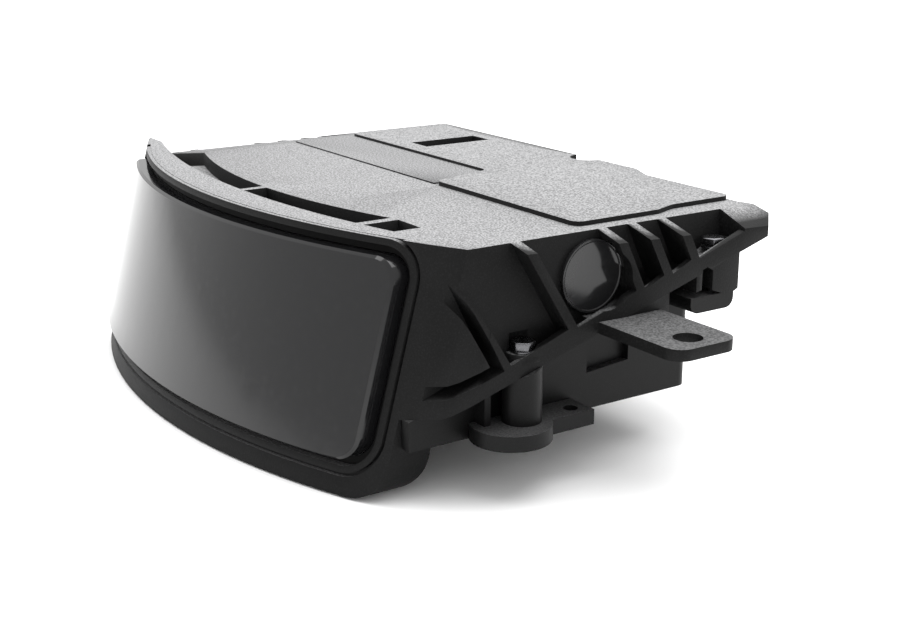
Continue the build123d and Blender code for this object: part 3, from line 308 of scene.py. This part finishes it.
finishes["motor_can"] = new_material(
    "motor_can", (0.3, 0.3, 0.31), (0.46, 0.46, 0.48), (0.25, 0.4),
    grain_scale=2200.0, bump=0.12, bump_mm=0.015, metallic=1.0)
finishes["mirror_coat"] = new_material(
    "polished_mirror", (0.86, 0.87, 0.88), (0.93, 0.93, 0.94), (0.02, 0.04),
    grain_scale=500.0, bump=0.01, bump_mm=0.002, metallic=1.0)
finishes["encoder_glass"] = new_material(
    "encoder_glass", (0.34, 0.38, 0.42), (0.5, 0.55, 0.6), (0.05, 0.1),
    grain_scale=900.0, bump=0.02, bump_mm=0.004, coat=0.5)
finishes["lens_glass"] = new_material(
    "coated_lens", (0.10, 0.07, 0.16), (0.16, 0.13, 0.26), (0.03, 0.06),
    grain_scale=500.0, bump=0.01, bump_mm=0.002, coat=1.0)
print("materials:", len(finishes))

# %% Put each finish on the CAD nodes of its slot
slot_of = {row["node"]: row["material_slot"] for row in frame["record"]["subparts"]}
for name, node in nodes.items():
    node.data.materials.clear()
    node.data.materials.append(finishes[slot_of[name]])
print("dressed", len(nodes), "nodes")


# %% [markdown]
# ## Softened edges on the castings
# No casting has a knife edge.  A narrow bevel that follows only the sharp edges gives the
# tray and the connector their thin bright lines.  It is a modifier, so the CAD mesh under
# it stays as it is.

# %% Bevel the lower casting and the connector
EDGE_ANGLE, EDGE_SEGMENTS = 32.0, 2


def soften(node_name, width_mm):
    """Narrow rounded edges on one CAD node."""
    bevel = nodes[node_name].modifiers.new("soft_edges", "BEVEL")
    bevel.width = width_mm * MM
    bevel.segments = EDGE_SEGMENTS
    bevel.limit_method = "ANGLE"
    bevel.angle_limit = radians(EDGE_ANGLE)
    bevel.harden_normals = True
    bevel.use_clamp_overlap = True


for node_name, width_mm in (("lower_housing", 0.3), ("connector_shell", 0.2)):
    soften(node_name, width_mm)
print("softened the edges of two nodes")


# %% [markdown]
# ## The upper casting, trimmed and rounded
# On the left the casting's shoulder falls away, and its ribs and rail end at that slope.
# The casting is copied, its loose triangles are merged so that a solid cut can work on it,
# and one sloping block takes off what stands above the shoulder.  A bevel then rounds every
# sharp edge as the die does.

# %% Helpers that model by hand: select, start, cut, bevel
SMOOTH_ANGLE = 35.0


def select_only(obj):
    """Make obj the one selected, active object."""
    bpy.ops.object.select_all(action="DESELECT")
    obj.select_set(True)
    bpy.context.view_layer.objects.active = obj


def cylinder(radius, depth, middle, vertices, rotation=(0, 0, 0)):
    """A cylinder in metres with its place and turn applied to its mesh."""
    bpy.ops.object.select_all(action="DESELECT")
    bpy.ops.mesh.primitive_cylinder_add(vertices=vertices, radius=radius, depth=depth,
                                        location=middle, rotation=rotation)
    bpy.ops.object.transform_apply(location=True, rotation=True, scale=True)
    return bpy.context.object


def pick_face(obj, height):
    """Go into edit mode with only the face that stands highest by the given measure selected."""
    select_only(obj)
    bpy.ops.object.mode_set(mode="EDIT")
    bpy.ops.mesh.select_mode(type="FACE")
    bpy.ops.mesh.select_all(action="DESELECT")
    bpy.ops.object.mode_set(mode="OBJECT")
    max(obj.data.polygons, key=height).select = True
    bpy.ops.object.mode_set(mode="EDIT")


def solid_cut(body, tool):
    """Cut a tool away from a body and delete the tool."""
    select_only(body)
    cut = body.modifiers.new("cut", "BOOLEAN")
    cut.operation = "DIFFERENCE"
    cut.solver = "EXACT"
    cut.object = tool
    bpy.ops.object.modifier_apply(modifier=cut.name)
    bpy.data.objects.remove(tool)


def apply_bevel(obj, width, angle=40.0):
    """Bevel an object's sharp edges for good."""
    select_only(obj)
    bevel = obj.modifiers.new("bevel", "BEVEL")
    bevel.width = width
    bevel.segments = EDGE_SEGMENTS
    bevel.limit_method = "ANGLE"
    bevel.angle_limit = radians(angle)
    bpy.ops.object.modifier_apply(modifier=bevel.name)
    bpy.ops.object.shade_smooth_by_angle(angle=radians(SMOOTH_ANGLE))


def finish_piece(obj, name, slot):
    """Name a finished piece, give it its slot's finish and fix it to the housing."""
    obj.name = name
    obj.data.materials.clear()
    obj.data.materials.append(finishes[slot])
    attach(obj, "housing")


# %% Copy the casting and merge its triangles
MERGE_DISTANCE = 0.002 * MM
upper_shell = bpy.data.objects.new("upper_shell", nodes["upper_housing"].data.copy())
bpy.context.collection.objects.link(upper_shell)
select_only(upper_shell)
bpy.ops.object.mode_set(mode="EDIT")
bpy.ops.mesh.select_all(action="SELECT")
bpy.ops.mesh.remove_doubles(threshold=MERGE_DISTANCE)
bpy.ops.object.mode_set(mode="OBJECT")
print("upper shell:", len(upper_shell.data.vertices), "corners")

# %% [markdown]
# The shoulder falls 6.2 mm over the 40.4 mm between the raised plate and the side.  The
# cutting block's underside continues that slope over the ribs.  The screw behind them then
# sits in a shallow counterbore, so that its head stays below the shoulder.

# %% Cut the left ribs and rail down to the sloping shoulder
SHOULDER_X, SHOULDER_Z = -92.0 * MM, 49.45 * MM
SHOULDER_SLOPE = atan2(6.2, 40.4)
CUT_SIZE = (40.0 * MM, 140.0 * MM, 20.0 * MM)
CUT_SHIFT, CUT_Y = 12.0 * MM, 10.0 * MM     # block's middle, outwards of the shoulder and back
half_height = CUT_SIZE[2] / 2
cut_middle = (SHOULDER_X - CUT_SHIFT - sin(SHOULDER_SLOPE) * half_height, CUT_Y,
              SHOULDER_Z - CUT_SHIFT * tan(SHOULDER_SLOPE) + cos(SHOULDER_SLOPE) * half_height)
bpy.ops.object.select_all(action="DESELECT")
bpy.ops.mesh.primitive_cube_add(size=1.0, location=cut_middle, rotation=(0, -SHOULDER_SLOPE, 0))
bpy.context.object.scale = CUT_SIZE
bpy.ops.object.transform_apply(location=True, rotation=True, scale=True)
solid_cut(upper_shell, bpy.context.object)
print("after the shoulder cut:", len(upper_shell.data.vertices), "corners")

# %% Sink the left rear screw's seat
HEAD_R, HEAD_H = 2.9 * MM, 2.4 * MM
SINK, BORE_R, BORE_H = 1.6 * MM, 3.7 * MM, 12.0 * MM
screws_low, screws_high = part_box("side_screws")
bore_middle = (screws_low.x + HEAD_R, screws_high.y - HEAD_R,
               screws_high.z - HEAD_H - SINK + BORE_H / 2)
solid_cut(upper_shell, cylinder(BORE_R, BORE_H, bore_middle, 48))
print("after the counterbore:", len(upper_shell.data.vertices), "corners")

# %% Round its edges and put it in the casting's place
SHELL_EDGE, SHELL_ANGLE = 0.35 * MM, 28.0
apply_bevel(upper_shell, SHELL_EDGE, SHELL_ANGLE)
finish_piece(upper_shell, "upper_shell", "black_cast")
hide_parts("upper_housing")
print("upper shell:", len(upper_shell.data.polygons), "faces")

# %% [markdown]
# ## The vent cap
# A round breather cap lets the warm air in the housing expand.  It sits almost flush in the
# side wall, with a narrow raised rim round a polished face.

# %% Vent cap: a disc whose face is set in behind its rim
VENT_RIM, VENT_SINK, VENT_EDGE = 0.45 * MM, 0.2 * MM, 0.12 * MM
VENT_SET_BACK = 2.1 * MM                    # how far the cap's face lies inside the CAD disc's
vent_low, vent_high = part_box("vent_disc")
vent_r = (vent_high.y - vent_low.y) / 2
vent_depth = vent_high.x - VENT_SET_BACK - vent_low.x
vent_middle = (vent_low.x + vent_depth / 2, (vent_low.y + vent_high.y) / 2,
               (vent_low.z + vent_high.z) / 2)
vent_cap = cylinder(vent_r, vent_depth, vent_middle, 72, rotation=(0, radians(90), 0))
pick_face(vent_cap, lambda face: face.center.x)
bpy.ops.mesh.inset(thickness=VENT_RIM)
bpy.ops.mesh.inset(thickness=VENT_SINK, depth=-VENT_SINK)
bpy.ops.object.mode_set(mode="OBJECT")
apply_bevel(vent_cap, VENT_EDGE)
finish_piece(vent_cap, "vent_cap", "vent_plastic")
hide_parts("vent_disc")
print("vent cap radius (mm):", round(vent_r / MM, 2))


# %% [markdown]
# ## Hexagon-head screws
# The long screws that hold the two castings together have a hexagon head on a round washer
# flange, with the top corners turned off in a lathe.  A six-sided cylinder, its top edge
# bevelled and a flange below, makes one; every screw is its own copy.

# %% Screw builder: proportions are shares of the head's own size
SCREW_LENGTH, SHAFT_R = 12.5 * MM, 1.22 * MM
FLANGE_SHARE, CROWN_SHARE, CROWN_RISE = 0.22, 0.09, 0.07
DISH_SHARE, DISH_DEPTH, SCREW_EDGE = 0.2, 0.12, 0.03


def hex_screw(name, seat, turn):
    """A flanged hexagon screw whose flange rests on seat."""
    across, flange_h = 2 * HEAD_R, FLANGE_SHARE * HEAD_H
    x, y, z = seat
    head = cylinder(HEAD_R, HEAD_H - flange_h, (x, y, z + (HEAD_H + flange_h) / 2), 6, (0, 0, turn))
    pick_face(head, lambda face: face.center.z)
    bpy.ops.mesh.inset(thickness=across * CROWN_SHARE, depth=HEAD_H * CROWN_RISE)
    bpy.ops.mesh.inset(thickness=across * DISH_SHARE)
    bpy.ops.transform.translate(value=(0, 0, -HEAD_H * DISH_DEPTH))
    bpy.ops.object.mode_set(mode="OBJECT")
    flange = cylinder(HEAD_R, flange_h, (x, y, z + flange_h / 2), 40)
    shaft = cylinder(SHAFT_R, SCREW_LENGTH, (x, y, z - SCREW_LENGTH / 2), 24)
    select_only(head)
    flange.select_set(True)
    shaft.select_set(True)
    bpy.ops.object.join()
    apply_bevel(head, across * SCREW_EDGE)
    finish_piece(head, name, "screw_steel")
    return head


# %% Place the four side screws where the CAD ones are
FRONT_X, PAD_H = 88.7 * MM, 1.8 * MM
FRONT_TURN, REAR_TURN = 0.35, 0.9
front_seat_z = screws_low.z + SCREW_LENGTH
rear_seat_z = screws_high.z - HEAD_H
rear_x = screws_high.x - HEAD_R
front_y, rear_y = screws_low.y + HEAD_R, screws_high.y - HEAD_R
for side, label, sink in ((1, "right", 0.0), (-1, "left", SINK)):
    hex_screw(f"front_screw_{label}", (side * FRONT_X, front_y, front_seat_z + PAD_H),
                            FRONT_TURN)
    hex_screw(f"rear_screw_{label}", (side * rear_x, rear_y, rear_seat_z - sink),
                            REAR_TURN)
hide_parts("side_screws")
print("screw seats (mm):", [round(v / MM, 2) for v in (front_seat_z, rear_seat_z, front_y, rear_y)])

# %% A low round pad under each front screw
PAD_FOOT_R, PAD_TOP_R, PAD_EDGE, PAD_INSET = 4.6 * MM, 3.7 * MM, 0.3 * MM, 0.4 * MM
for side, label in ((1, "right"), (-1, "left")):
    bpy.ops.object.select_all(action="DESELECT")
    bpy.ops.mesh.primitive_cone_add(vertices=48, radius1=PAD_FOOT_R, radius2=PAD_TOP_R, depth=PAD_H,
                                    location=(side * (FRONT_X - PAD_INSET), front_y,
                                              front_seat_z + PAD_H / 2))
    pad = bpy.context.object
    bpy.ops.object.transform_apply(location=True, rotation=True, scale=True)
    apply_bevel(pad, PAD_EDGE)
    finish_piece(pad, f"screw_pad_{label}", "black_cast")


# %% [markdown]
# ## The stage
# The module stands in plain, even light, bright from above, on a pale sweep.

# %% Floor
FLOOR_SIZE, FLOOR_Z = 8.0, -0.0004
bpy.ops.mesh.primitive_plane_add(size=FLOOR_SIZE, location=(0, 0, FLOOR_Z))
floor = bpy.context.object
floor.name = "floor"
floor_paint = bpy.data.materials.new("floor_paint")
floor_paint.use_nodes = True
paint = floor_paint.node_tree.nodes["Principled BSDF"]
paint.inputs["Base Color"].default_value = (0.96, 0.96, 0.96, 1)
paint.inputs["Roughness"].default_value = 0.9
paint.inputs["Specular IOR Level"].default_value = 0.1
floor.data.materials.append(floor_paint)
print("floor:", FLOOR_SIZE, "m wide")

# %% World and light
AMBIENT = 1.03
LIGHT_PLACE, LIGHT_AIM = Vector((-0.1, 0.25, 1.2)), Vector((0, 0, 0.03))
LIGHT_SIZE, LIGHT_POWER = 1.6, 26.0
world = bpy.data.worlds.new("studio")
bpy.context.scene.world = world
world.use_nodes = True
world.node_tree.nodes["Background"].inputs["Color"].default_value = (1, 1, 1, 1)
world.node_tree.nodes["Background"].inputs["Strength"].default_value = AMBIENT
softbox = bpy.data.lights.new("overhead", "AREA")
softbox.size = LIGHT_SIZE
softbox.energy = LIGHT_POWER
overhead = bpy.data.objects.new("overhead", softbox)
bpy.context.collection.objects.link(overhead)
overhead.location = LIGHT_PLACE
overhead.rotation_euler = (LIGHT_AIM - LIGHT_PLACE).to_track_quat("-Z", "Y").to_euler()
print("light:", LIGHT_POWER, "W over", LIGHT_SIZE, "m")

# %% [markdown]
# ## Camera
# The camera stands close, right of the window and a little above, so the wide body
# foreshortens strongly.

# %% Camera
AZIMUTH, ELEVATION = radians(56.197), radians(16.829)
CAMERA_PLACE = (0.3182, -0.1804, 0.1257)
SENSOR_MM, LENS_MM, NEAR = 36.0, 53.99, 0.01
camera_data = bpy.data.cameras.new("camera")
camera_data.sensor_width = SENSOR_MM
camera_data.lens = LENS_MM
camera_data.clip_start = NEAR
camera = bpy.data.objects.new("camera", camera_data)
bpy.context.collection.objects.link(camera)
camera.location = CAMERA_PLACE
back = Vector((sin(AZIMUTH) * cos(ELEVATION), -cos(AZIMUTH) * cos(ELEVATION), sin(ELEVATION)))
camera.rotation_euler = (-back).to_track_quat("-Z", "Y").to_euler()
bpy.context.scene.camera = camera
bpy.context.scene.view_settings.view_transform = "Standard"
print("camera at", CAMERA_PLACE)
